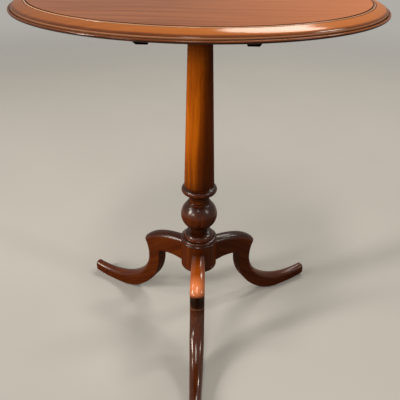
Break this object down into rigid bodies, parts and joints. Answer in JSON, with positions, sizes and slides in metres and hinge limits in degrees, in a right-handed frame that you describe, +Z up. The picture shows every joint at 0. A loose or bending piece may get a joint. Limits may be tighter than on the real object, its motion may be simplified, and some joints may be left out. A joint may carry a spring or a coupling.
{
  "type": "tilt top table",
  "caption": "Round tilt-top tripod table: moulded top on two bearers and a pivot block, ball-turned column, S-curved dovetailed legs, sliding brass catch.",
  "frame": {"origin": "on the floor, under the middle of the top and the column's axis", "axes": "+Z up; the single leg points to -Y; the hinge axis runs along X on the +Y side of the column"},
  "size_m": [0.6266, 0.6298, 0.72],
  "materials": {
    "mahogany_top": "french polished mahogany, worn satin on the flat, glossy on the moulding",
    "mahogany_base": "dark french polished mahogany, glossy",
    "secondary_wood": "unpolished, stained",
    "brass": "dull aged brass",
    "iron": "blackened iron",
    "steel": "dull steel"
  },
  "bodies": {
    "base": {"column": "mahogany_base", "column_wedge": "secondary_wood", "pivot_block": "secondary_wood", "leg_front": "mahogany_base", "leg_right": "mahogany_base", "leg_left": "mahogany_base", "strap_plate": "iron", "strap_screw_1": "steel", "strap_screw_2": "steel", "strap_screw_3": "steel", "strap_screw_4": "steel", "strap_screw_5": "steel", "strap_screw_6": "steel", "strike_plate": "brass", "strike_screw_1": "brass", "strike_screw_2": "brass"},
    "top": {"table_top": "mahogany_top", "bearer_left": "secondary_wood", "bearer_screw_left_1": "steel", "bearer_screw_left_2": "steel", "bearer_screw_left_3": "steel", "bearer_screw_left_4": "steel", "bearer_right": "secondary_wood", "bearer_screw_right_1": "steel", "bearer_screw_right_2": "steel", "bearer_screw_right_3": "steel", "bearer_screw_right_4": "steel", "catch_case": "brass", "catch_spring": "steel", "catch_screw_1": "brass", "catch_screw_2": "brass", "catch_screw_3": "brass", "catch_screw_4": "brass"},
    "catch_bolt": {"catch_bolt": "brass", "catch_knob": "brass"}
  },
  "joints": [
    {"name": "top_tilt", "type": "hinge", "parent": "base", "child": "top", "pos_m": [0, 0.057, 0.6895], "axis": [-1, 0, 0], "range_deg": [0, 90]},
    {"name": "bolt_slide", "type": "slide", "parent": "top", "child": "catch_bolt", "axis": [0, 1, 0], "range_m": [0, 0.008]}
  ]
}
